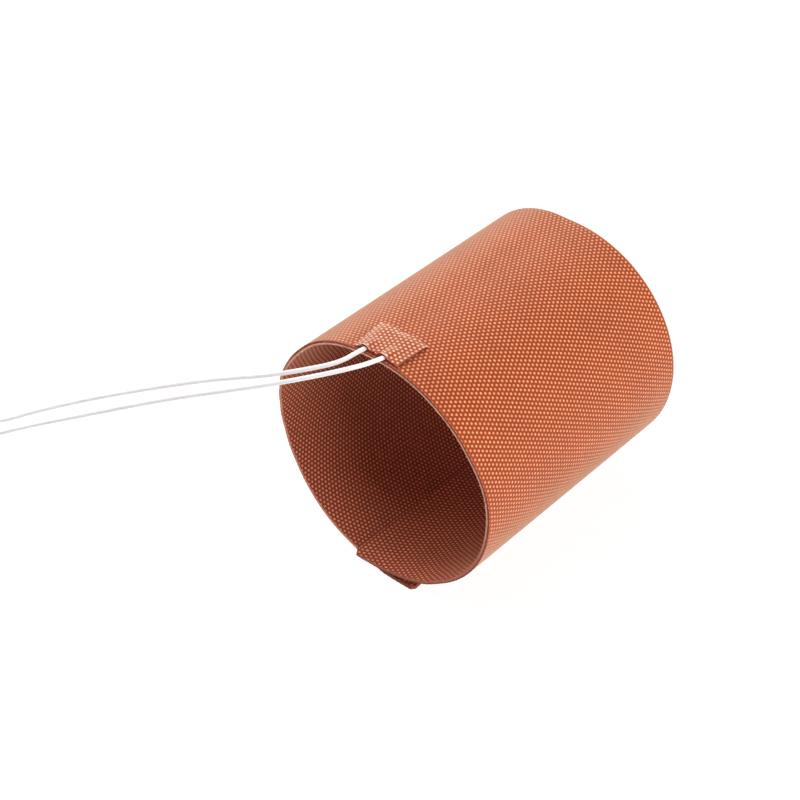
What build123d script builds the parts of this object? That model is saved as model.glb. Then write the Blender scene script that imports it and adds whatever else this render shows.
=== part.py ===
from build123d import *
import math
import os

# A flexible silicone heater mat, rolled into a tube that lies on its overlapping seam.
# X runs across the tube, Y along its axis and Z up. The origin is on the surface that the
# tube lies on, under the middle of the tube. All sizes are in millimetres.

# The flat mat
mat_length = 300.0
mat_width = 100.0
face_sheet_thickness = 0.75

# How it is rolled: the outer end lies flat on the table, and the inner end lies on it and
# follows it up to the left
outer_flat = 13.5
seam_flat = 1.5
inner_end_curve = 8.3
lower_left_radius = 41.0
upper_left_radius = 33.0
shoulder_turn = math.radians(45.0)
layer_gap = 0.35

# The heating element: one flat track that runs to and fro between the two face sheets
foil_thickness = 0.12
track_width = 3.2
track_pitch = 7.0
element_end_margin = 10.0
element_back_margin = 8.0
bus_setback = 10.0
bus_to_runs_gap = 3.0

# The cover patch over the two lead joints, at the middle of one long edge
patch_length = 18.0
patch_depth = 14.5
patch_thickness = 0.8
patch_offset = 2.2

# Its low raised middle over the bare conductors, which fades out towards the patch's back
raised_height = 0.45
raised_margin = 0.6
raised_shoulder = 0.9
raised_fade = 3.4
root_depth = 0.3

# The bump where it goes over the end of each lead, highest at the front edge
bump_half_width = 2.4
bump_crown_half_width = 1.0
bump_crown_rise = 0.3
bump_fade = 3.6
lead_end_cover = 0.3

# The two flying leads, which lie on the mat and leave it at the front edge
lead_diameter = 1.5
lead_spacing = 7.65
lead_offset = 1.85
lead_seat_gap = 0.05
lead_reach_under_patch = 3.0
lead_straight = 6.0
left_lead_slant = 8.0
right_lead_slant = 12.0
conductor_diameter = 0.9
stripped_length = 7.0

# The solder joints on the two ends of the track
joint_length = 3.2
joint_width = 2.6
joint_height = 0.65
window_clearance = 0.25
stub_overlap = 0.5

# Lengths below which an edge's bow or a run of the section counts as nothing
least_bow = 1e-4
least_run = 1e-6

# Values worked out from the sizes above
mat_thickness = 2 * face_sheet_thickness
front = -mat_width / 2
back = mat_width / 2
lead_radius = lead_diameter / 2
layer_pitch = mat_thickness + layer_gap
side_turn = math.pi - 2 * shoulder_turn
shoulder_cos = math.cos(shoulder_turn)
shoulder_sin = math.sin(shoulder_turn)
left_radii = lower_left_radius + upper_left_radius
top_flat = seam_flat + (lower_left_radius - upper_left_radius) * shoulder_sin
shoulders_rise = (1 - shoulder_cos) * left_radii
flats_and_shoulders = outer_flat + top_flat + seam_flat + inner_end_curve
flats_and_shoulders += shoulder_turn * left_radii
rise_share = side_turn / (2 * shoulder_cos) + math.pi / 2
rise_offset = side_turn * shoulders_rise / (2 * shoulder_cos) + math.pi * layer_pitch / 2
left_rise = (mat_length - flats_and_shoulders + rise_offset) / rise_share
left_side_radius = (left_rise - shoulders_rise) / (2 * shoulder_cos)
right_radius = (left_rise - layer_pitch) / 2
inner_end_radius = lower_left_radius - layer_pitch
left_reach = outer_flat
left_reach += lower_left_radius * shoulder_sin + left_side_radius * (1 - shoulder_sin)
right_reach = right_radius + seam_flat - outer_flat
start_x = (left_reach - right_reach) / 2
patch_centre = mat_length / 2 + patch_offset
patch_start = patch_centre - patch_length / 2
patch_end = patch_centre + patch_length / 2
lead_middle = mat_length / 2 + lead_offset
lead_stations = (lead_middle - lead_spacing / 2, lead_middle + lead_spacing / 2)
lead_slants = (math.radians(left_lead_slant), math.radians(right_lead_slant))
outer_face = face_sheet_thickness
patch_face = outer_face + patch_thickness
raised_face = patch_face + raised_height
conductor_radius = conductor_diameter / 2
lead_height = outer_face + lead_seat_gap + lead_radius
conductor_height = outer_face + lead_seat_gap + conductor_radius
lead_start_y = front + lead_reach_under_patch
joint_y = front + bus_setback

# Runs of the sheet's middle line, from its outer end to its inner end: length and radius
section_runs = [
    (outer_flat, None),
    (lower_left_radius * shoulder_turn, lower_left_radius),
    (left_side_radius * side_turn, left_side_radius),
    (upper_left_radius * shoulder_turn, upper_left_radius),
    (top_flat, None),
    (right_radius * math.pi, right_radius),
    (seam_flat, None),
    (inner_end_curve, inner_end_radius),
]


def walk_section():
    """Start station, start point, heading, length and radius of each run of the middle line."""
    station = 0.0
    x = start_x
    z = mat_thickness / 2
    heading = math.pi
    runs = []
    for length, radius in section_runs:
        runs.append((station, x, z, heading, length, radius))
        if radius is None:
            x += length * math.cos(heading)
            z += length * math.sin(heading)
        else:
            turned = heading - length / radius
            x += radius * (math.sin(heading) - math.sin(turned))
            z += radius * (math.cos(turned) - math.cos(heading))
            heading = turned
        station += length
    return runs


walked_runs = walk_section()


def sheet_frame(station):
    """Point on the middle line and the heading there."""
    for start, x, z, heading, length, radius in walked_runs:
        travel = station - start
        if travel <= length or start == walked_runs[-1][0]:
            break
    if radius is None:
        return x + travel * math.cos(heading), z + travel * math.sin(heading), heading
    turned = heading - travel / radius
    x += radius * (math.sin(heading) - math.sin(turned))
    z += radius * (math.cos(turned) - math.cos(heading))
    return x, z, turned


def sheet_point(station, outward, y, along=0.0):
    """Point at a station, so far outward from the middle line and along its tangent."""
    x, z, heading = sheet_frame(station)
    x += along * math.cos(heading) - outward * math.sin(heading)
    z += along * math.sin(heading) + outward * math.cos(heading)
    return Vector(x, y, z)


def side_edge(begin, end, outward, y):
    """Edge between two stations at one distance, straight where the sheet is flat there."""
    first = sheet_point(begin, outward, y)
    last = sheet_point(end, outward, y)
    middle = sheet_point((begin + end) / 2, outward, y)
    bow = (middle - (first + last) / 2).length
    if bow < least_bow:
        return Line(first, last)
    return ThreePointArc(first, middle, last)


def sheet_band(begin, end, inner, outer, y, width):
    """Solid strip that follows the rolled sheet between two stations and two distances."""
    starts = [start for start, *_ in walked_runs if begin + least_run < start < end - least_run]
    stations = [begin] + starts + [end]
    edges = []
    for outward in (inner, outer):
        for here, there in zip(stations[:-1], stations[1:]):
            edges.append(side_edge(here, there, outward, y))
    edges.append(Line(sheet_point(begin, inner, y), sheet_point(begin, outer, y)))
    edges.append(Line(sheet_point(end, inner, y), sheet_point(end, outer, y)))
    return extrude(make_face(edges), amount=width, dir=(0, 1, 0))


def heating_element():
    """One continuous foil track with a pad for each lead."""
    reach = mat_length - 2 * element_end_margin - track_width
    steps = int(reach / track_pitch)
    if steps % 2 == 0:
        steps -= 1
    pitch = reach / steps
    runs_front = front + bus_setback + track_width + bus_to_runs_gap
    runs_back = back - element_back_margin
    half = track_width / 2
    centres = [element_end_margin + half + pitch * k for k in range(steps + 1)]
    pieces = []
    for k, centre in enumerate(centres):
        y = joint_y if k in (0, steps) else runs_front
        pieces.append(sheet_band(centre - half, centre + half, -foil_thickness, 0, y, runs_back - y))
        if k < steps:
            turn_y = runs_back - track_width if k % 2 == 0 else runs_front
            begin = centre - half
            end = centre + pitch + half
            pieces.append(sheet_band(begin, end, -foil_thickness, 0, turn_y, track_width))
    left_pad, right_pad = lead_stations
    pieces.append(
        sheet_band(centres[0] - half, left_pad + half, -foil_thickness, 0, joint_y, track_width)
    )
    pieces.append(
        sheet_band(right_pad - half, centres[-1] + half, -foil_thickness, 0, joint_y, track_width)
    )
    return pieces[0].fuse(*pieces[1:])


def joint_window(station):
    """Opening in the outer face sheet that bares the end of the track."""
    half = joint_width / 2 + window_clearance
    length = joint_length + 2 * window_clearance
    y = joint_y - window_clearance
    return sheet_band(station - half, station + half, 0, outer_face, y, length)


def lead_direction(slant):
    """Direction in which a lead leaves the patch, level and a little to the left."""
    return Vector(-math.sin(slant), -math.cos(slant), 0)


def solder_joint(station, lead):
    """Solder on the track's pad, with the bare conductor that runs to it from the lead's end."""
    half = joint_width / 2
    mound = sheet_band(
        station - half, station + half, 0, outer_face + joint_height, joint_y, joint_length
    )
    lead_end = sheet_point(station, lead_height, lead_start_y)
    stub_end = sheet_point(station, conductor_height, joint_y + stub_overlap)
    direction = (stub_end - lead_end).normalized()
    stub_start = lead_end - direction * stub_overlap
    stub_plane = Plane(origin=stub_start, z_dir=direction)
    stub = extrude(stub_plane * Circle(conductor_radius), amount=(stub_end - stub_start).length)
    return mound + (stub - lead)


def raised_profile(y, top):
    """Outline of the patch's raised middle: its foot, its bowed top and the slopes between."""
    root = patch_face - root_depth
    foot = (patch_start + raised_margin, patch_end - raised_margin)
    crown = (lead_stations[0] - raised_shoulder, lead_stations[1] + raised_shoulder)
    edges = [side_edge(*foot, root, y), side_edge(*crown, top, y)]
    for low, high in zip(foot, crown):
        edges.append(Line(sheet_point(low, root, y), sheet_point(high, top, y)))
    return make_face(edges)


def raised_middle():
    """Low plateau across both conductors, level with the patch again at its back edge."""
    back_edge = front + patch_depth
    profiles = [
        raised_profile(front, raised_face),
        raised_profile(back_edge - raised_fade, raised_face),
        raised_profile(back_edge, patch_face),
    ]
    return loft(profiles, ruled=True)


def bump_profile(station, y, top):
    """Outline of the patch where it is pushed up over the end of a lead."""
    root = patch_face - root_depth
    shoulder = top - bump_crown_rise
    left_root = sheet_point(station, root, y, -bump_half_width)
    left_crown = sheet_point(station, shoulder, y, -bump_crown_half_width)
    crown = sheet_point(station, top, y)
    right_crown = sheet_point(station, shoulder, y, bump_crown_half_width)
    right_root = sheet_point(station, root, y, bump_half_width)
    edges = [
        Line(left_root, left_crown),
        ThreePointArc(left_crown, crown, right_crown),
        Line(right_crown, right_root),
        Line(right_root, left_root),
    ]
    return make_face(edges)


def lead_bump(station, slant):
    """Bump over the end of a lead, from the front edge back to the low plateau."""
    exit_station = station - lead_reach_under_patch * math.tan(slant)
    lead_top = lead_height + lead_radius
    lead_end_y = lead_start_y + lead_end_cover
    profiles = [
        bump_profile(exit_station, front, lead_top + patch_thickness),
        bump_profile(station, lead_end_y, lead_top + lead_end_cover),
        bump_profile(station, lead_end_y + bump_fade, raised_face - root_depth),
    ]
    return loft(profiles, ruled=True)


def lead_cover_patch(sealed_pieces):
    """Patch of the mat's own sheet over the leads' ends, moulded round what it seals."""
    patch = sheet_band(patch_start, patch_end, outer_face, patch_face, front, patch_depth)
    patch += raised_middle()
    for station, slant in zip(lead_stations, lead_slants):
        patch += lead_bump(station, slant)
    for piece in sealed_pieces:
        patch -= piece
    return patch


# Each lead's points after its straight start under the patch, down to its free end.
# The leads leave the front edge, bend to the left and droop to the table, where they end.
left_lead_points = [
    (-7.3, -60.6, 91.2),
    (-13.7, -67.7, 88.6),
    (-24.9, -73.8, 84.3),
    (-40.1, -78.9, 78.1),
    (-57.5, -83.2, 69.4),
    (-76.3, -86.6, 58.7),
    (-95.3, -88.8, 47.0),
    (-113.6, -90.1, 34.9),
    (-130.3, -90.7, 23.2),
    (-144.9, -91.3, 12.5),
    (-157.8, -92.4, 4.7),
    (-169.5, -94.9, 0.75),
    (-180.0, -99.6, 0.75),
    (-187.0, -108.7, 0.75),
    (-188.3, -119.9, 0.75),
]
right_lead_points = [
    (-1.0, -60.0, 91.4),
    (-8.0, -67.7, 89.4),
    (-18.9, -75.5, 85.2),
    (-33.3, -82.5, 79.1),
    (-50.0, -88.3, 71.2),
    (-67.7, -92.9, 61.3),
    (-85.7, -95.9, 50.2),
    (-103.4, -97.5, 38.7),
    (-120.2, -98.3, 27.5),
    (-135.2, -99.1, 17.0),
    (-148.4, -100.5, 8.2),
    (-160.0, -103.0, 2.4),
    (-170.5, -106.7, 0.75),
    (-178.3, -114.3, 0.75),
    (-180.8, -124.8, 0.75),
]


def lead_route(station, slant, points):
    """All the points of a lead, from under the patch to its free end."""
    seat = sheet_point(station, lead_height, lead_start_y)
    bend = seat + lead_direction(slant) * lead_straight
    return [seat, bend] + [Vector(*point) for point in points]


def arc_radii(route):
    """Radius of the arc at each corner, as large as its two runs allow."""
    radii = []
    for before, corner, after in zip(route[:-2], route[1:-1], route[2:]):
        shorter = min((corner - before).length, (after - corner).length)
        turn = math.radians((corner - before).get_angle(after - corner))
        radii.append(0.45 * shorter / math.tan(turn / 2))
    return radii


def lead_tube(name, route):
    """Insulated wire of round section along its route."""
    radii = arc_radii(route)
    path = FilletPolyline(*route, radius=radii)
    section = Plane(origin=path @ 0, z_dir=path % 0) * Circle(lead_radius)
    tube = sweep(section, path=path)
    ideal = math.pi * lead_radius**2 * path.length
    print(name, "length", round(path.length, 1), "least radius", round(min(radii), 1))
    print(name, "volume", round(tube.volume, 2), "section times length", round(ideal, 2))
    return tube


def stripped_end(route):
    """Tinned strands that stand out of the insulation at a lead's free end."""
    direction = (route[-1] - route[-2]).normalized()
    section = Plane(origin=route[-1], z_dir=direction) * Circle(conductor_radius)
    return extrude(section, amount=stripped_length)


element = heating_element()
outer_sheet = sheet_band(0, mat_length, 0, outer_face, front, mat_width)
inner_sheet = sheet_band(0, mat_length, -face_sheet_thickness, 0, front, mat_width) - element
for station in lead_stations:
    outer_sheet -= joint_window(station)
left_route = lead_route(lead_stations[0], lead_slants[0], left_lead_points)
right_route = lead_route(lead_stations[1], lead_slants[1], right_lead_points)
left_lead = lead_tube("left_lead", left_route)
right_lead = lead_tube("right_lead", right_route)
leads = [left_lead, right_lead]
joints = [solder_joint(station, lead) for station, lead in zip(lead_stations, leads)]
patch = lead_cover_patch(joints + leads)

parts = {
    "outer_face_sheet": outer_sheet,
    "inner_face_sheet": inner_sheet,
    "heating_element": element,
    "left_solder_joint": joints[0],
    "right_solder_joint": joints[1],
    "lead_cover_patch": patch,
    "left_lead": left_lead,
    "right_lead": right_lead,
    "left_lead_stripped_end": stripped_end(left_route),
    "right_lead_stripped_end": stripped_end(right_route),
}

os.makedirs("parts", exist_ok=True)
for name, solid in parts.items():
    export_step(solid, f"parts/{name}.step")
    box = solid.bounding_box()
    print(name, [round(value, 2) for value in (*box.min, *box.max)], round(solid.volume, 1))
print("lead seats", [tuple(round(v, 2) for v in sheet_point(s, lead_height, front)) for s in lead_stations])
print("roll height", round(left_rise + mat_thickness, 2), "side radius", round(left_side_radius, 2))
print("right radius", round(right_radius, 3), "start x", round(start_x, 2))
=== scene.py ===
import math

import bpy
import numpy as np
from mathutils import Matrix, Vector, noise


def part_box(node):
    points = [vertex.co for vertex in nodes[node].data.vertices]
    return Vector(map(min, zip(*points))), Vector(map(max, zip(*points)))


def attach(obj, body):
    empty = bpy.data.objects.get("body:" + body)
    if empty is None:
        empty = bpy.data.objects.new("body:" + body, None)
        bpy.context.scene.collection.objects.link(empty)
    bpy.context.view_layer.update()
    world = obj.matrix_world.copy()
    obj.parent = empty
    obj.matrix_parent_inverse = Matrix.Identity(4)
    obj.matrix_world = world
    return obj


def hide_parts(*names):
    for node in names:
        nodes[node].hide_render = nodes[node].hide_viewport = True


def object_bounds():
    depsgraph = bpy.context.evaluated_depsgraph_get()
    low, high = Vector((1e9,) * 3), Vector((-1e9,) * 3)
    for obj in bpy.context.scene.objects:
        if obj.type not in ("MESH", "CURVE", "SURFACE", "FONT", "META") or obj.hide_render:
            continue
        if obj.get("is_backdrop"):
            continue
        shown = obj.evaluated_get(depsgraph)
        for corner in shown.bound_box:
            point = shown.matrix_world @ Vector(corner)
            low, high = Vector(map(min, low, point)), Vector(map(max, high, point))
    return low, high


# A silicone heater mat, rolled into a tube that lies on its seam, with two white leads.
# All lengths are in metres, in the frame of the CAD model.

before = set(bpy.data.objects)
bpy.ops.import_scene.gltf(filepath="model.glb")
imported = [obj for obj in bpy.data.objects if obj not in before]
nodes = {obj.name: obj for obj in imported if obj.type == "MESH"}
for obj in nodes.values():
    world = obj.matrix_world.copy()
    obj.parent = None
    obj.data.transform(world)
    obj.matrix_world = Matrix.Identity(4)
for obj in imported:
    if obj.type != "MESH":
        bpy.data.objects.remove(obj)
cad_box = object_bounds()
BODY = "root"

# The flat mat and its roll, as in the CAD model
mat_length = 0.300
sheet_thickness = 0.00075
outer_flat = 0.0135
seam_flat = 0.0015
inner_end_curve = 0.0083
lower_left_radius = 0.041
upper_left_radius = 0.033
shoulder_turn = math.radians(45)
layer_gap = 0.00035
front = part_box("outer_face_sheet")[0].y
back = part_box("outer_face_sheet")[1].y
mat_width = back - front

# The cover patch and the leads, as in the CAD model
patch_length = 0.018
patch_depth = 0.0145
patch_thickness = 0.0008
patch_offset = 0.0022
raised_height = 0.00045
raised_margin = 0.0006
raised_shoulder = 0.0009
raised_fade = 0.0034
lead_diameter = 0.0015
lead_spacing = 0.00765
lead_offset = 0.00185
lead_seat_gap = 0.00005
lead_reach = 0.003
lead_slants = (math.radians(8), math.radians(12))
conductor_diameter = 0.0009
stripped_length = 0.007

# The woven imprint: raised dots in a centred lattice, one cell wide and one cell long
dot_cell_short = 0.00161
dot_cell_long = 0.002755
dot_relief = 0.00015

# The imprint's waves add up to between -1.5 and 3
wave_depth = 1.5
wave_span = 4.5

# How far the front edge stands forward of a straight cut, by station, read from the photograph
front_drift = [
    (-0.004, 0.0010), (0.006, 0.0012), (0.010, 0.0011), (0.016, 0.0003),
    (0.028, -0.0008), (0.060, -0.0008), (0.072, -0.0004), (0.084, 0.0005),
    (0.092, 0.0014), (0.100, 0.0024), (0.112, 0.0026), (0.126, 0.0021),
    (0.140, 0.0019), (0.150, 0.0013), (0.175, 0.0012), (0.192, 0.0009),
    (0.214, -0.0003), (0.240, 0.0), (0.262, 0.0001), (0.272, 0.0010),
    (0.282, 0.0013), (0.292, 0.0020), (0.303, 0.0030),
]

# The outer end is cut a little askew and reaches further out; both ends' front corners are blunt
outer_corner_reach = 0.0024
corner_round = 0.0016
corner_fade = 0.004
inner_end_reach = 0.0007
end_fade = 0.020

# Worn colour and painted shade: a worn, smooth strip along the outer sheet's front, and painted shade
# on the inner sheet at the mat's outer end, under the seam
strip_share = 0.6
strip_reach = 0.0011
under_seam_shade_end = 0.016
under_seam_shade_end_fade = 0.006
under_seam_shade_depth = 0.012
under_seam_shade_depth_fade = 0.01

# The camera, fitted to the photograph's outline
photo_width = 800
focal_pixels = 1823.0
camera_place = (0.298181, -0.381156, 0.429323)
camera_azimuth = math.radians(41.211)
camera_elevation = math.radians(38.634)

# Light levels: what the floor throws back, what the camera sees of it, and the world's light
floor_bounce = 0.85
floor_shaded = 0.2
floor_glow = 0.9
floor_gap = 0.0001
world_light = 0.224
light_target = (0.0, 0.0, 0.05)


# Scene helpers


def add_camera():
    """Camera at the photograph's viewing angle."""
    data = bpy.data.cameras.new("photo_camera")
    data.sensor_fit = "HORIZONTAL"
    data.sensor_width = 36.0
    data.lens = data.sensor_width * focal_pixels / photo_width
    data.clip_start = 0.01
    data.clip_end = 20.0
    camera = bpy.data.objects.new("photo_camera", data)
    camera.location = camera_place
    camera.rotation_euler = (math.pi / 2 - camera_elevation, 0.0, camera_azimuth)
    bpy.context.scene.collection.objects.link(camera)
    bpy.context.scene.camera = camera


def add_softbox(name, place, size, power):
    """Square area light that points at the object."""
    data = bpy.data.lights.new(name, "AREA")
    data.shape = "SQUARE"
    data.size = size
    data.energy = power
    lamp = bpy.data.objects.new(name, data)
    lamp.location = place
    aim = Vector(light_target) - Vector(place)
    lamp.rotation_euler = aim.to_track_quat("-Z", "Y").to_euler()
    bpy.context.scene.collection.objects.link(lamp)


# Node helpers


class Graph:
    """Node tree of a material or a world, with short calls for the nodes used here."""

    def __init__(self, owner):
        self.owner = owner
        self.owner.use_nodes = True
        self.tree = self.owner.node_tree
        self.tree.nodes.clear()

    def node(self, kind, **settings):
        made = self.tree.nodes.new(kind)
        for key, value in settings.items():
            setattr(made, key, value)
        return made

    def feed(self, socket, value):
        """Links an output to an input, or sets the input to a plain value."""
        if isinstance(value, bpy.types.NodeSocket):
            self.tree.links.new(value, socket)
        else:
            socket.default_value = value

    def math(self, operation, *values, clamp=False):
        made = self.node("ShaderNodeMath", operation=operation, use_clamp=clamp)
        for socket, value in zip(made.inputs, values):
            self.feed(socket, value)
        return made.outputs[0]

    def ramp(self, value, stops):
        """Colour or grey level by value, from a list of places and colours."""
        made = self.node("ShaderNodeValToRGB")
        elements = made.color_ramp.elements
        while len(elements) < len(stops):
            elements.new(0.5)
        for element, (place, colour) in zip(elements, stops):
            element.position = place
            element.color = colour
        self.feed(made.inputs[0], value)
        return made.outputs[0]

    def noise(self, scale, detail=2.0):
        """Noise texture in the object's own coordinates."""
        made = self.node("ShaderNodeTexNoise")
        self.feed(made.inputs["Vector"], self.node("ShaderNodeTexCoord").outputs["Object"])
        made.inputs["Scale"].default_value = scale
        made.inputs["Detail"].default_value = detail
        return made.outputs[0]

    def cells(self):
        """The two parts of a face's own place, in lattice cells or along and across a cut edge."""
        split = self.node("ShaderNodeSeparateXYZ")
        self.feed(split.inputs[0], self.node("ShaderNodeUVMap", uv_map="cells").outputs[0])
        return split.outputs[0], split.outputs[1]

    def seen_share(self):
        """1 for what the camera sees, also in a reflection or through glass, and 0 for light."""
        path = self.node("ShaderNodeLightPath")
        seen = self.math("MAXIMUM", path.outputs["Is Camera Ray"], path.outputs["Is Glossy Ray"])
        return self.math("MAXIMUM", seen, path.outputs["Is Transmission Ray"])

    def mix(self, share, first, second, blend="MIX"):
        made = self.node("ShaderNodeMix", data_type="RGBA", blend_type=blend)
        self.feed(made.inputs[0], share)
        self.feed(made.inputs[6], first)
        self.feed(made.inputs[7], second)
        return made.outputs[2]

    def bump(self, height, strength, distance):
        made = self.node("ShaderNodeBump")
        made.inputs["Strength"].default_value = strength
        made.inputs["Distance"].default_value = distance
        self.feed(made.inputs["Height"], height)
        return made.outputs[0]

    def surface(self, colour, roughness, normal, **uniform):
        """Principled surface; the uniform values are set on the shader's own sockets."""
        shader = self.node("ShaderNodeBsdfPrincipled")
        self.feed(shader.inputs["Base Color"], colour)
        self.feed(shader.inputs["Roughness"], roughness)
        self.feed(shader.inputs["Normal"], normal)
        for name, value in uniform.items():
            shader.inputs[name.replace("_", " ")].default_value = value
        self.feed(self.node("ShaderNodeOutputMaterial").inputs["Surface"], shader.outputs[0])
        return self.owner


def material_graph(name):
    """Empty node tree of a new material."""
    return Graph(bpy.data.materials.new(name))


def rgb(red, green, blue):
    """Linear colour from display values of 0 to 255."""
    levels = []
    for value in (red, green, blue):
        share = value / 255
        levels.append(share / 12.92 if share <= 0.04045 else ((share + 0.055) / 1.055) ** 2.4)
    return (*levels, 1.0)


black = (0.0, 0.0, 0.0, 1.0)
white = (1.0, 1.0, 1.0, 1.0)


# Materials


def weave_height(graph, across, along):
    """Height of the woven imprint from 0 in the hollows to 1 on the dots, as imprint() has it."""
    wave_across = graph.math("COSINE", graph.math("MULTIPLY", across, math.tau))
    turned = graph.math("MULTIPLY", along, math.tau)
    wave_along = graph.math("COSINE", turned)
    twice = graph.math("COSINE", graph.math("MULTIPLY", turned, 2.0))
    both = graph.math("MULTIPLY", graph.math("MULTIPLY", wave_across, wave_along), 2.0)
    raised = graph.math("ADD", graph.math("ADD", both, twice), wave_depth)
    return graph.math("DIVIDE", raised, wave_span, clamp=True)


def dot_random(graph, across, along):
    """A random grey level for each dot."""
    first = graph.math("ROUND", graph.math("ADD", across, along))
    second = graph.math("ROUND", graph.math("SUBTRACT", across, along))
    joined = graph.node("ShaderNodeCombineXYZ")
    graph.feed(joined.inputs[0], first)
    graph.feed(joined.inputs[1], second)
    random = graph.node("ShaderNodeTexWhiteNoise", noise_dimensions="2D")
    graph.feed(random.inputs["Vector"], joined.outputs[0])
    return random.outputs["Value"]


def woven_rubber(name, hollow, base, dot, wear_and_shade_colour, sheen=1.0):
    """Silicone rubber with the imprint of the glass cloth: light dots on a darker ground, with painted
    shade in the hollows.
    """
    graph = material_graph(name)
    across, along = graph.cells()
    height = weave_height(graph, across, along)
    patches = graph.noise(scale=55.0, detail=3.0)
    grain = graph.noise(scale=2600.0, detail=2.0)
    lifted = graph.math("ADD", height, graph.math("MULTIPLY", grain, 0.2))
    level = graph.math("SUBTRACT", lifted, 0.1)
    # The hollow colour, darker than the ground, is painted shade in the imprint's hollows
    colour = graph.ramp(level, [(0.0, hollow), (0.25, base), (0.42, base), (0.74, dot)])
    dot_share = graph.math("SUBTRACT", dot_random(graph, across, along), 0.5)
    dot_change = graph.math("MULTIPLY", graph.math("MULTIPLY", dot_share, height), 0.3)
    patch_change = graph.math("MULTIPLY", graph.math("SUBTRACT", patches, 0.5), 0.3)
    brightness = graph.math("ADD", graph.math("ADD", dot_change, patch_change), 1.0)
    grey = graph.node("ShaderNodeCombineColor")
    for socket in grey.inputs[:3]:
        graph.feed(socket, brightness)
    colour = graph.mix(1.0, colour, grey.outputs[0], "MULTIPLY")
    # The worn colour is wear on the outer sheet and the patch, and painted shade on the inner sheet
    # under the seam
    wear_and_shade = graph.node("ShaderNodeAttribute", attribute_name="wear_and_shade").outputs["Fac"]
    ragged = graph.math("MULTIPLY", graph.noise(scale=900.0, detail=3.0), 1.6)
    share = graph.math("MULTIPLY", wear_and_shade, ragged, clamp=True)
    colour = graph.mix(share, colour, wear_and_shade_colour)
    roughness = graph.math("SUBTRACT", 0.66, graph.math("MULTIPLY", height, 0.12))
    normal = graph.bump(lifted, strength=0.35, distance=0.00008)
    return graph.surface(
        colour,
        roughness,
        normal,
        Specular_IOR_Level=0.1,
        Sheen_Weight=sheen,
        Sheen_Roughness=0.46,
        Sheen_Tint=(1.0, 0.78, 0.58, 1.0),
    )


def cut_edge():
    """Cut edge of the mat: pale glass fibres and a dark outer line, with painted light and shade round
    the roll: painted shade at the outer end and at the seam, duller bands on the lower side.
    """
    graph = material_graph("cut_edge")
    station, level = graph.cells()
    ragged = graph.math("MULTIPLY", graph.math("SUBTRACT", graph.noise(scale=900.0), 0.5), 0.3)
    across = graph.math("ADD", level, ragged)
    dark = rgb(128, 58, 40)
    pale = rgb(238, 172, 148)
    mild = rgb(216, 142, 118)
    shaded_pale = rgb(150, 80, 62)
    low_band = rgb(186, 108, 86)
    low_line = rgb(106, 56, 48)

    # Where each colour shows, by share of the mat's length from its outer end: painted light and shade,
    # as light falls on the edge round the roll
    share = graph.math("DIVIDE", station, mat_length * 1000)
    outer_end_shade = graph.ramp(share, [(0.05, white), (0.085, black)])
    left_side = graph.ramp(share, [(0.33, white), (0.38, black)])
    low_side_light_and_shade = graph.ramp(share, [(0.72, black), (0.8, white)])
    seam_edge_shade = graph.ramp(share, [(0.88, black), (0.92, white)])

    # Colours from the edge's inner side to its outer side
    bands = graph.ramp(across, [(0.0, pale), (0.38, pale), (0.54, dark), (1.0, dark)])
    plain = graph.ramp(across, [(0.0, dark), (0.08, dark), (0.2, mild), (1.0, mild)])
    low = graph.ramp(across, [(0.0, low_band), (0.58, low_band), (0.76, low_line), (1.0, low_line)])

    colour = graph.mix(left_side, bands, plain)
    # Painted light and shade on the lower side: a duller band and a dark outer line
    colour = graph.mix(low_side_light_and_shade, colour, low)
    # Painted shade at the outer end, under the seam
    colour = graph.mix(outer_end_shade, colour, dark)
    # Painted shade at the seam
    colour = graph.mix(graph.math("MULTIPLY", seam_edge_shade, 0.5), colour, shaded_pale)
    fibres = graph.noise(scale=3200.0, detail=2.0)
    speckle = graph.ramp(fibres, [(0.56, black), (0.68, white)])
    colour = graph.mix(graph.math("MULTIPLY", speckle, 0.4), colour, rgb(232, 180, 160))
    clumps = graph.ramp(graph.noise(scale=700.0, detail=3.0), [(0.4, black), (0.65, white)])
    colour = graph.mix(graph.math("MULTIPLY", clumps, 0.4), colour, shaded_pale)
    normal = graph.bump(fibres, strength=0.6, distance=0.0001)
    return graph.surface(colour, 0.75, normal, Specular_IOR_Level=0.15)


def patch_cut():
    """Cut edge of the cover patch: dark rubber with a few pale threads; the dark colour is partly the
    rubber's own and partly painted shadow under the patch's lifted edge.
    """
    graph = material_graph("patch_cut")
    threads = graph.noise(scale=1400.0, detail=3.0)
    colour = graph.ramp(threads, [(0.3, rgb(96, 34, 18)), (0.6, rgb(140, 62, 40))])
    pale_share = graph.ramp(threads, [(0.62, black), (0.7, white)])
    colour = graph.mix(pale_share, colour, rgb(222, 160, 138))
    normal = graph.bump(threads, strength=0.5, distance=0.0001)
    return graph.surface(colour, 0.8, normal, Specular_IOR_Level=0.1)


def lead_rubber():
    """White silicone insulation, a little uneven along its length."""
    graph = material_graph("lead_rubber")
    soft = graph.noise(scale=120.0, detail=2.0)
    fine = graph.noise(scale=1800.0, detail=3.0)
    colour = graph.ramp(soft, [(0.3, rgb(236, 232, 231)), (0.7, rgb(243, 240, 239))])
    roughness = graph.math("ADD", graph.math("MULTIPLY", fine, 0.2), 0.4)
    normal = graph.bump(fine, strength=0.2, distance=0.00005)
    return graph.surface(colour, roughness, normal, Specular_IOR_Level=0.4)


def tinned_metal(name, colour, scale, roughness):
    """Soft grey metal with a mottled, drawn or etched face."""
    graph = material_graph(name)
    mottle = graph.noise(scale, detail=4.0)
    dull = tuple(0.6 * level for level in colour[:3]) + (1.0,)
    shade = graph.ramp(mottle, [(0.3, dull), (0.7, colour)])
    rough = graph.math("ADD", graph.math("MULTIPLY", mottle, 0.3), roughness)
    normal = graph.bump(mottle, strength=0.3, distance=0.00005)
    return graph.surface(shade, rough, normal, Metallic=1.0)


# The rolled section


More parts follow.
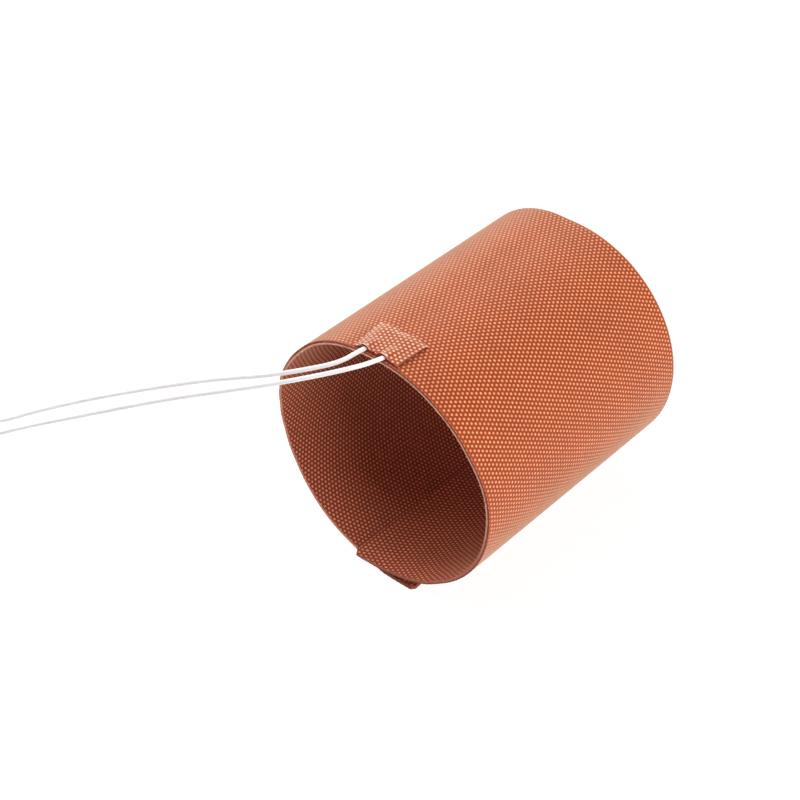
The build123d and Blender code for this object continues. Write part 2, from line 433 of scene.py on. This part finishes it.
def section_runs():
    """Length and radius of each run of the sheet's middle line, from its outer end inward."""
    layer_pitch = 2 * sheet_thickness + layer_gap
    side_turn = math.pi - 2 * shoulder_turn
    cos, sin = math.cos(shoulder_turn), math.sin(shoulder_turn)
    radii = lower_left_radius + upper_left_radius
    top_flat = seam_flat + (lower_left_radius - upper_left_radius) * sin
    shoulders_rise = (1 - cos) * radii
    fixed = outer_flat + top_flat + seam_flat + inner_end_curve + shoulder_turn * radii
    share = side_turn / (2 * cos) + math.pi / 2
    offset = side_turn * shoulders_rise / (2 * cos) + math.pi * layer_pitch / 2
    rise = (mat_length - fixed + offset) / share
    side_radius = (rise - shoulders_rise) / (2 * cos)
    right_radius = (rise - layer_pitch) / 2
    left_reach = outer_flat + lower_left_radius * sin + side_radius * (1 - sin)
    right_reach = right_radius + seam_flat - outer_flat
    runs = [
        (outer_flat, None),
        (lower_left_radius * shoulder_turn, lower_left_radius),
        (side_radius * side_turn, side_radius),
        (upper_left_radius * shoulder_turn, upper_left_radius),
        (top_flat, None),
        (right_radius * math.pi, right_radius),
        (seam_flat, None),
        (inner_end_curve, lower_left_radius - layer_pitch),
    ]
    return runs, (left_reach - right_reach) / 2


def walk_section():
    """Start station, point, heading, length and radius of each run."""
    runs, x = section_runs()
    station, z, heading = 0.0, sheet_thickness, math.pi
    walked = []
    for length, radius in runs:
        walked.append((station, x, z, heading, length, radius))
        if radius is None:
            x += length * math.cos(heading)
            z += length * math.sin(heading)
        else:
            turned = heading - length / radius
            x += radius * (math.sin(heading) - math.sin(turned))
            z += radius * (math.cos(turned) - math.cos(heading))
            heading = turned
        station += length
    return walked


walked_runs = walk_section()


def smooth_step(value):
    value = min(max(value, 0.0), 1.0)
    return value * value * (3 - 2 * value)


def drift_at(station):
    """How far the front edge stands forward at a station."""
    for (begin, low), (end, high) in zip(front_drift[:-1], front_drift[1:]):
        if station <= end:
            break
    return low + (high - low) * smooth_step((station - begin) / (end - begin))


def rolled(station, outward, y, drift=None):
    """Point of the rolled sheet at a station, so far outward from its middle line."""
    forward = (back - y) / mat_width
    from_end = min(max(min(station, mat_length - station), 0.0), corner_round)
    pulled = corner_round - math.sqrt(corner_round ** 2 - (corner_round - from_end) ** 2)
    y += pulled * (1 - smooth_step((y - front) / corner_fade))
    station -= outer_corner_reach * forward * (1 - smooth_step(station / end_fade))
    station += inner_end_reach * (1 - smooth_step((mat_length - station) / end_fade))
    if drift is None:
        drift = drift_at(station)
    for start, x, z, heading, length, radius in walked_runs:
        travel = station - start
        if travel <= length:
            break
    if radius is None:
        x += travel * math.cos(heading)
        z += travel * math.sin(heading)
    else:
        turned = heading - travel / radius
        x += radius * (math.sin(heading) - math.sin(turned))
        z += radius * (math.cos(turned) - math.cos(heading))
        heading = turned
    x -= outward * math.sin(heading)
    z += outward * math.cos(heading)
    return x, y - drift * forward, z


# Mesh pieces


class Shell:
    """Points and faces of one piece, with a texture place for each face corner."""

    def __init__(self):
        self.points = []
        self.faces = []
        self.places = []
        self.slots = []
        self.smooth = []

    def point(self, place):
        self.points.append(place)
        return len(self.points) - 1

    def face(self, corners, places, slot=0, smooth=True):
        self.faces.append(corners)
        self.places.extend(places)
        self.slots.append(slot)
        self.smooth.append(smooth)

    def build(self, name, materials):
        mesh = bpy.data.meshes.new(name)
        mesh.from_pydata(self.points, [], self.faces)
        layer = mesh.uv_layers.new(name="cells")
        layer.data.foreach_set("uv", np.array(self.places, np.float32).ravel())
        for material in materials:
            mesh.materials.append(material)
        mesh.polygons.foreach_set("material_index", self.slots)
        mesh.polygons.foreach_set("use_smooth", self.smooth)
        mesh.update()
        piece = bpy.data.objects.new(name, mesh)
        bpy.context.scene.collection.objects.link(piece)
        return piece


def set_wear_and_shade(piece, shares):
    """Share of worn colour and of painted shade at each point of a piece, for its material to read."""
    attribute = piece.data.attributes.new("wear_and_shade", "FLOAT", "POINT")
    attribute.data.foreach_set("value", shares)


def lattice_triangles(columns, rows):
    """Small triangles between the dots, in quarters of a column and twelfths of a cell's length.

    Each triangle of three neighbouring dots is split into six round its own middle.
    """
    for row in range(rows):
        low = 6 * row
        for column in range(-1, columns + 1):
            left = 4 * column + 2 * (row % 2)
            upward = [(left, low), (left + 2, low), (left + 4, low)]
            upward += [(left + 3, low + 3), (left + 2, low + 6), (left + 1, low + 3)]
            downward = [(left, low), (left + 1, low + 3), (left + 2, low + 6)]
            downward += [(left, low + 6), (left - 2, low + 6), (left - 1, low + 3)]
            for ring, middle in ((upward, (left + 2, low + 2)), (downward, (left, low + 4))):
                for first, second in zip(ring, ring[1:] + ring[:1]):
                    triangle = (first, second, middle)
                    if all(0 <= across <= 4 * columns for across, _ in triangle):
                        yield triangle


def imprint(across, along):
    """Height of the imprint from 0 to 1, at a place in lattice cells."""
    both = 2 * math.cos(math.tau * across) * math.cos(math.tau * along)
    return (both + math.cos(2 * math.tau * along) + wave_depth) / wave_span


def wear_and_shade_share(side, station, y):
    """Share of worn colour on the outer sheet, and of painted shade on the inner sheet, at a place so
    far back from the front edge.
    """
    if side > 0:
        return strip_share * (1 - smooth_step(y / strip_reach))
    # Inner sheet: painted shade at the mat's outer end, which lies in the shadow under the seam
    near_end = 1 - smooth_step((station - under_seam_shade_end) / under_seam_shade_end_fade)
    return near_end * (1 - smooth_step((y - under_seam_shade_depth) / under_seam_shade_depth_fade))


def woven_sheet(name, side, materials):
    """One face sheet of the mat, closed, with the imprint on the side that shows.

    The lattice's short cell runs round the tube on the outer sheet, along it on the inner one.
    """
    dots_round_first = side > 0
    short_way, long_way = (mat_length, mat_width) if dots_round_first else (mat_width, mat_length)
    columns = round(short_way / dot_cell_short)
    rows = round(long_way / dot_cell_long * 2)
    steps = (short_way / (4 * columns), long_way / (6 * rows))
    shell = Shell()
    index = {}
    wear_and_shade = []

    def flat_place(key):
        first, second = key[0] * steps[0], key[1] * steps[1]
        return (first, second) if dots_round_first else (second, first)

    def relief_point(key):
        if key not in index:
            station, y = flat_place(key)
            height = imprint(key[0] / 4, key[1] / 12)
            outward = side * (sheet_thickness - dot_relief * (1 - height))
            index[key] = shell.point(rolled(station, outward, front + y))
            wear_and_shade.append(wear_and_shade_share(side, station, y))
        return index[key]

    for triangle in lattice_triangles(columns, rows):
        corners = [relief_point(key) for key in triangle]
        places = [(across / 4, along / 12) for across, along in triangle]
        shell.face(corners, places)

    # The cut edges and the plain side, where the two sheets are bonded together
    borders = []
    for axis, last in enumerate((4 * columns, 6 * rows)):
        for limit in (0, last):
            borders.append(sorted(key for key in index if key[axis] == limit))
    if not dots_round_first:
        borders = borders[2:] + borders[:2]
    starts, ends, front_edge, back_edge = borders
    inner_level = 0.5
    outer_level = 1.0 if side > 0 else 0.0
    bonded = {}
    for key in front_edge + back_edge:
        station, y = flat_place(key)
        bonded[key] = shell.point(rolled(station, 0.0, front + y))

    def add_plain_face(corners, places, turned):
        if turned:
            corners, places = corners[::-1], places[::-1]
        shell.face(corners, places, slot=1, smooth=False)

    for edge, turned in ((front_edge, side > 0), (back_edge, side < 0)):
        for here, there in zip(edge[:-1], edge[1:]):
            near, far = flat_place(here)[0] * 1000, flat_place(there)[0] * 1000
            corners = [index[here], index[there], bonded[there], bonded[here]]
            places = [(near, outer_level), (far, outer_level), (far, inner_level), (near, inner_level)]
            add_plain_face(corners, places, turned)
    for k in range(len(front_edge) - 1):
        corners = [bonded[key] for key in (front_edge[k], front_edge[k + 1])]
        corners += [bonded[key] for key in (back_edge[k + 1], back_edge[k])]
        add_plain_face(corners, [(0.0, inner_level)] * 4, side > 0)
    for edge, turned in ((starts, side < 0), (ends, side > 0)):
        corners = [index[key] for key in edge] + [bonded[edge[-1]], bonded[edge[0]]]
        places = [(0.0, outer_level)] * len(edge) + [(0.0, inner_level)] * 2
        add_plain_face(corners, places, turned)
    piece = shell.build(name, materials)
    set_wear_and_shade(piece, wear_and_shade + [0.0] * (len(shell.points) - len(wear_and_shade)))
    return piece


# The leads


left_route = [
    (-0.00498, -0.04700, 0.09121),
    (-0.00581, -0.05294, 0.09121),
    (-0.0070, -0.0606, 0.0906),
    (-0.0135, -0.0677, 0.0888),
    (-0.0249, -0.0738, 0.0841),
    (-0.0401, -0.0789, 0.0781),
    (-0.0575, -0.0832, 0.0694),
    (-0.0763, -0.0866, 0.0587),
    (-0.0953, -0.0888, 0.0470),
    (-0.1136, -0.0901, 0.0349),
    (-0.1303, -0.0907, 0.0232),
    (-0.1449, -0.0913, 0.0125),
    (-0.1578, -0.0924, 0.0047),
    (-0.1695, -0.0949, 0.00075),
    (-0.1800, -0.0996, 0.00075),
    (-0.1870, -0.1087, 0.00075),
    (-0.1883, -0.1199, 0.00075),
]
right_route = [
    (0.00274, -0.04700, 0.09115),
    (0.00149, -0.05287, 0.09115),
    (-0.0010, -0.0600, 0.0914),
    (-0.0080, -0.0677, 0.0894),
    (-0.0189, -0.0755, 0.0852),
    (-0.0333, -0.0825, 0.0791),
    (-0.0500, -0.0883, 0.0712),
    (-0.0677, -0.0929, 0.0613),
    (-0.0857, -0.0959, 0.0502),
    (-0.1034, -0.0975, 0.0387),
    (-0.1202, -0.0983, 0.0275),
    (-0.1352, -0.0991, 0.0170),
    (-0.1484, -0.1005, 0.0082),
    (-0.1600, -0.1030, 0.0024),
    (-0.1705, -0.1067, 0.00075),
    (-0.1783, -0.1143, 0.00075),
    (-0.1808, -0.1248, 0.00075),
]


def lead_curve(name, route, material):
    """Round lead along one smooth line, with the route's points as its control points."""
    data = bpy.data.curves.new(name, "CURVE")
    data.dimensions = "3D"
    data.bevel_depth = lead_diameter / 2
    data.bevel_resolution = 4
    data.resolution_u = 10
    data.use_fill_caps = True
    spline = data.splines.new("NURBS")
    spline.points.add(len(route) - 1)
    for point, place in zip(spline.points, route):
        point.co = (*place, 1.0)
    spline.order_u = 3
    spline.use_endpoint_u = True
    spline.use_smooth = True
    data.materials.append(material)
    piece = bpy.data.objects.new(name, data)
    bpy.context.scene.collection.objects.link(piece)
    return piece


def strand_bundle(name, route, material):
    """Seven twisted strands that stand out of the insulation at a lead's end."""
    start = Vector(route[-1])
    axis = (start - Vector(route[-2])).normalized()
    side = axis.cross(Vector((0, 0, 1))).normalized()
    up = side.cross(axis)
    strands = 7
    strand_radius = conductor_diameter / 6
    twist_length = 0.011
    shortening = 0.03
    steps, sides = 18, 8
    shell = Shell()
    for strand in range(strands):
        ring_radius = 0.0 if strand == 0 else 2 * strand_radius
        tip = stripped_length * (1.0 - shortening * ((strand * 3) % strands))
        rings = []
        for step in range(steps + 1):
            travel = tip * step / steps
            angle = math.tau * (strand / (strands - 1) + travel / twist_length)
            centre = start + axis * travel
            centre += (side * math.cos(angle) + up * math.sin(angle)) * ring_radius
            ring = []
            for corner in range(sides):
                turn = math.tau * corner / sides
                offset = (side * math.cos(turn) + up * math.sin(turn)) * strand_radius
                ring.append(shell.point(tuple(centre + offset)))
            rings.append(ring)
        for low, high in zip(rings[:-1], rings[1:]):
            for k in range(sides):
                n = (k + 1) % sides
                shell.face([low[k], low[n], high[n], high[k]], [(0.0, 0.0)] * 4)
        shell.face(rings[0][::-1], [(0.0, 0.0)] * sides, smooth=False)
        shell.face(rings[-1], [(0.0, 0.0)] * sides, smooth=False)
    return shell.build(name, [material])


# The cover patch


patch_middle = mat_length / 2 + patch_offset
patch_start = patch_middle - patch_length / 2
lead_middle = mat_length / 2 + lead_offset
lead_stations = (lead_middle - lead_spacing / 2, lead_middle + lead_spacing / 2)
patch_face = sheet_thickness + patch_thickness
lead_top = sheet_thickness + lead_seat_gap + lead_diameter

# The patch's own weave, turned a little from the edges of the patch
patch_cell_round = 0.00265
patch_cell_axis = 0.00161
patch_weave_turn = math.radians(2.5)

# The bumps over the leads' ends, above the raised middle
bump_front = lead_top + patch_thickness - patch_face - raised_height
bump_at_lead_end = 0.0006
bump_flat = 0.0005
bump_reach = 0.0019
bump_fade = 0.0036
lead_end_cover = 0.0003

# The patch is cut a little out of square, and its front edge doesn't follow the mat's
patch_front_drifts = (0.0011, 0.0006)
back_reaches = (0.0016, 0.0006)
front_right_cut = 0.0008

# The patch's edges: pressed thin at the left and the back, a little lifted at the right
pressed_share = 0.4
pressed_reach = 0.0022
joint_reach = 0.0018
right_edge_lift = 0.00035
right_edge_reach = 0.0030
ragged_edge = 0.0003
ragged_reach = 0.0009
ragged_scale = 900
least_thickness = 0.00015

# Where the patch is open underneath: at its front, over the leads, and at its lifted right edge
front_opening = 0.0004
front_opening_fade = 0.0016
right_opening = 0.0012

# The patch's worn places: the fronts of the bumps, smoothed too, and the left and back edges
bump_wear = 0.7
bump_wear_reach = 0.0013
bump_smoothing = 0.3
bump_smoothing_reach = 0.0015
left_wear = 0.8
left_wear_reach = 0.0028
back_wear = 0.08
back_left_wear = 0.5
back_left_wear_reach = 0.006
back_wear_reach = 0.0016


def raised_rise(station, y):
    """Share of the raised middle's height at a place of the patch."""
    left_foot = patch_start + raised_margin
    right_foot = patch_start + patch_length - raised_margin
    left_crown = lead_stations[0] - raised_shoulder
    right_crown = lead_stations[1] + raised_shoulder
    rise = smooth_step((station - left_foot) / (left_crown - left_foot))
    rise *= smooth_step((right_foot - station) / (right_foot - right_crown))
    return rise * smooth_step((patch_depth - y) / raised_fade)


def bump_rise(station, y, flat, reach):
    """Height of the nearer bump at a place, and how near the place is to the lead's line."""
    lead_end = lead_reach + lead_end_cover
    if y < lead_end:
        height = bump_front + (bump_at_lead_end - bump_front) * y / lead_end
    else:
        height = bump_at_lead_end * (1 - smooth_step((y - lead_end) / bump_fade))
    near = 0.0
    for lead, slant in zip(lead_stations, lead_slants):
        aside = abs(station - lead + max(lead_reach - y, 0.0) * math.tan(slant))
        near = max(near, 1 - smooth_step((aside - flat) / reach))
    return height * near, near


def patch_level(station, y):
    """Patch's top and underside from the mat's middle line, and how near a lead's line is."""
    from_left = station - patch_start
    from_right = patch_length - from_left
    from_back = patch_depth - y
    pressed_back = smooth_step(from_back / pressed_reach)
    for lead in lead_stations:
        over_joint = 1 - smooth_step((abs(station - lead) - joint_reach) / joint_reach)
        pressed_back = max(pressed_back, over_joint)
    pressed = min(smooth_step(from_left / pressed_reach), pressed_back)
    thick = patch_thickness * (pressed_share + (1 - pressed_share) * pressed)
    bump, near = bump_rise(station, y, bump_flat, bump_reach)
    lift = right_edge_lift * smooth_step(1 - from_right / right_edge_reach)
    lift *= math.sin(math.pi * min(max(y / patch_depth, 0.0), 1.0))
    top = sheet_thickness + thick + raised_height * raised_rise(station, y) + bump + lift
    open_front = 1 - smooth_step((y - front_opening) / front_opening_fade)
    open_right = smooth_step(1 - from_right / right_opening)
    hollow = max(top - thick - sheet_thickness, 0.0)
    under = sheet_thickness + hollow * max(open_front, open_right)
    return top, under, near


def patch_cells(station, y):
    """Place in cells of the patch's own weave."""
    aside = station - patch_middle
    turned = aside * math.cos(patch_weave_turn) - y * math.sin(patch_weave_turn)
    along = aside * math.sin(patch_weave_turn) + y * math.cos(patch_weave_turn)
    return along / patch_cell_axis, turned / patch_cell_round


def patch_place(right_share, back_share):
    """Where a place of the patch lies on the mat: its station, its y and the front's drift there."""
    station = patch_start + right_share * patch_length
    y = back_share * patch_depth
    ragged = ragged_edge * noise.noise((station * ragged_scale, y * ragged_scale, 0.0))
    from_side = min(right_share, 1 - right_share) * patch_length
    from_end = min(back_share, 1 - back_share) * patch_depth
    station += ragged * (1 - smooth_step(from_side / ragged_reach))
    back_left, back_right = back_reaches
    station -= (back_left * (1 - right_share) + back_right * right_share) * back_share
    station -= front_right_cut * right_share * (1 - back_share)
    y += ragged * (1 - smooth_step(from_end / ragged_reach))
    drift_left, drift_right = patch_front_drifts
    return station, front + y, drift_left + (drift_right - drift_left) * right_share


def patch_wear(station, y, height, near):
    """Share of worn colour on the patch, at a place with a height of imprint near a lead."""
    from_left = station - patch_start
    on_bump = bump_wear * near * (1 - smooth_step(y / bump_wear_reach))
    at_left = left_wear * height * (1 - smooth_step(from_left / left_wear_reach))
    back_share = back_wear + back_left_wear * (1 - smooth_step(from_left / back_left_wear_reach))
    at_back = back_share * height * (1 - smooth_step((patch_depth - y) / back_wear_reach))
    return max(on_bump, at_left, at_back)


def cover_patch(name, materials):
    """Patch of the mat's sheet over the leads' ends: one low raised area with two bumps."""
    columns, rows = 126, 102
    shell = Shell()
    top, under, place_of, wear_and_shade = {}, {}, {}, []
    keys = [(i, j) for i in range(columns + 1) for j in range(rows + 1)]
    for i, j in keys:
        station = patch_start + i / columns * patch_length
        y = j / rows * patch_depth
        place_of[i, j] = patch_cells(station, y)
        height = imprint(*place_of[i, j])
        high, low, near = patch_level(station, y)
        smoothed = 1 - bump_smoothing * near * (1 - smooth_step(y / bump_smoothing_reach))
        high -= dot_relief * (1 - height) * smoothed
        mat_station, mat_y, drift = patch_place(i / columns, j / rows)
        top[i, j] = shell.point(rolled(mat_station, high, mat_y, drift))
        under[i, j] = rolled(mat_station, min(low, high - least_thickness), mat_y, drift)
        wear_and_shade.append(patch_wear(station, y, height, near))
    for key in keys:
        under[key] = shell.point(under[key])
    for i in range(columns):
        for j in range(rows):
            ring = [(i, j), (i, j + 1), (i + 1, j + 1), (i + 1, j)]
            shell.face([top[key] for key in ring], [place_of[key] for key in ring])
            shell.face([under[key] for key in ring[::-1]], [place_of[key] for key in ring])
    border = [(i, 0) for i in range(columns)] + [(columns, j) for j in range(rows)]
    border += [(i, rows) for i in range(columns, 0, -1)] + [(0, j) for j in range(rows, 0, -1)]
    for here, there in zip(border, border[1:] + border[:1]):
        corners = [top[here], top[there], under[there], under[here]]
        shell.face(corners, [(0.0, 0.0)] * 4, slot=1, smooth=False)
    piece = shell.build(name, materials)
    set_wear_and_shade(piece, wear_and_shade + [0.0] * len(keys))
    return piece


# Floor, lights and background


def pale_floor():
    """Wide white floor that shows a faint shadow to the camera."""
    size = 4.0
    mesh = bpy.data.meshes.new("floor")
    corners = [(-size, -size, 0), (size, -size, 0), (size, size, 0), (-size, size, 0)]
    mesh.from_pydata(corners, [], [(0, 1, 2, 3)])
    graph = material_graph("floor_paper")
    pale = graph.node("ShaderNodeBsdfDiffuse")
    pale.inputs["Color"].default_value = (floor_bounce, floor_bounce, floor_bounce, 1.0)
    shaded = graph.node("ShaderNodeBsdfDiffuse")
    shaded.inputs["Color"].default_value = (floor_shaded, floor_shaded, floor_shaded, 1.0)
    glow = graph.node("ShaderNodeEmission")
    glow.inputs["Strength"].default_value = floor_glow
    both = graph.node("ShaderNodeAddShader")
    graph.feed(both.inputs[0], shaded.outputs[0])
    graph.feed(both.inputs[1], glow.outputs[0])
    choose = graph.node("ShaderNodeMixShader")
    graph.feed(choose.inputs[0], graph.seen_share())
    graph.feed(choose.inputs[1], pale.outputs[0])
    graph.feed(choose.inputs[2], both.outputs[0])
    graph.feed(graph.node("ShaderNodeOutputMaterial").inputs["Surface"], choose.outputs[0])
    mesh.materials.append(graph.owner)
    floor = bpy.data.objects.new("floor", mesh)
    floor.location.z = -floor_gap
    bpy.context.scene.collection.objects.link(floor)
    floor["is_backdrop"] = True
    return floor


def white_world():
    """White surroundings: full white to the camera, a lower level as light."""
    world = bpy.data.worlds.new("white_studio")
    bpy.context.scene.world = world
    graph = Graph(world)
    strength = graph.node("ShaderNodeMapRange")
    graph.feed(strength.inputs["Value"], graph.seen_share())
    strength.inputs["To Min"].default_value = world_light
    strength.inputs["To Max"].default_value = 1.0
    background = graph.node("ShaderNodeBackground")
    background.inputs["Color"].default_value = white
    graph.feed(background.inputs["Strength"], strength.outputs[0])
    graph.feed(graph.node("ShaderNodeOutputWorld").inputs["Surface"], background.outputs[0])


def add_piece(piece, slot, *replaced):
    """The piece rides on the part and stands for its CAD nodes, which are hidden. The slot argument is
    not used.
    """
    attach(piece, BODY)
    if replaced:
        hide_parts(*replaced)


bpy.context.scene.view_settings.view_transform = "Standard"
add_camera()
floor = pale_floor()
white_world()
add_softbox("top_softbox", (-0.4, -0.2, 0.95), size=0.7, power=6.5)
add_softbox("right_softbox", (0.95, 0.05, 0.26), size=0.9, power=12.0)
add_softbox("left_softbox", (-0.9, 0.15, 0.45), size=0.8, power=7.5)

lead_white = lead_rubber()
wire = tinned_metal("tinned_strands", rgb(215, 214, 210), scale=1500.0, roughness=0.25)
for name, route in (("left", left_route), ("right", right_route)):
    lead = lead_curve(f"{name}_flying_lead", route, lead_white)
    add_piece(lead, "lead_insulation", f"{name}_lead")
    strands = strand_bundle(f"{name}_wire_strands", route, wire)
    add_piece(strands, "tinned_wire", f"{name}_lead_stripped_end")

edge = cut_edge()
outer_rubber = woven_rubber(
    "outer_rubber",
    hollow=rgb(130, 43, 2),
    base=rgb(160, 59, 3),
    dot=rgb(242, 154, 110),
    wear_and_shade_colour=rgb(170, 84, 52),
)
# On the inner sheet the worn colour is dark: painted shade at the mat's outer end, under the seam
inner_rubber = woven_rubber(
    "inner_rubber",
    hollow=rgb(122, 48, 22),
    base=rgb(162, 76, 48),
    dot=rgb(232, 156, 128),
    wear_and_shade_colour=rgb(110, 36, 26),
    sheen=0.3,
)
patch_rubber = woven_rubber(
    "patch_rubber",
    hollow=rgb(134, 48, 20),
    base=rgb(176, 84, 50),
    dot=rgb(252, 188, 156),
    wear_and_shade_colour=rgb(252, 224, 212),
)
outer = woven_sheet("outer_woven_sheet", 1, [outer_rubber, edge])
inner = woven_sheet("inner_woven_sheet", -1, [inner_rubber, edge])
patch = cover_patch("woven_cover_patch", [patch_rubber, patch_cut()])
add_piece(outer, "silicone_cloth", "outer_face_sheet")
add_piece(inner, "silicone_cloth", "inner_face_sheet")
add_piece(patch, "silicone_cloth", "lead_cover_patch")

hidden_metals = {
    "heating_element": tinned_metal("etched_foil", rgb(190, 184, 172), scale=700.0, roughness=0.3),
    "left_solder_joint": tinned_metal("left_solder", rgb(200, 200, 198), scale=900.0, roughness=0.35),
    "right_solder_joint": tinned_metal("right_solder", rgb(198, 198, 196), scale=950.0, roughness=0.35),
}
for name, metal in hidden_metals.items():
    nodes[name].data.materials.clear()
    nodes[name].data.materials.append(metal)

boxes = {"cad": cad_box, "visual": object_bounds()}
{key: [list(corner) for corner in box] for key, box in boxes.items()}
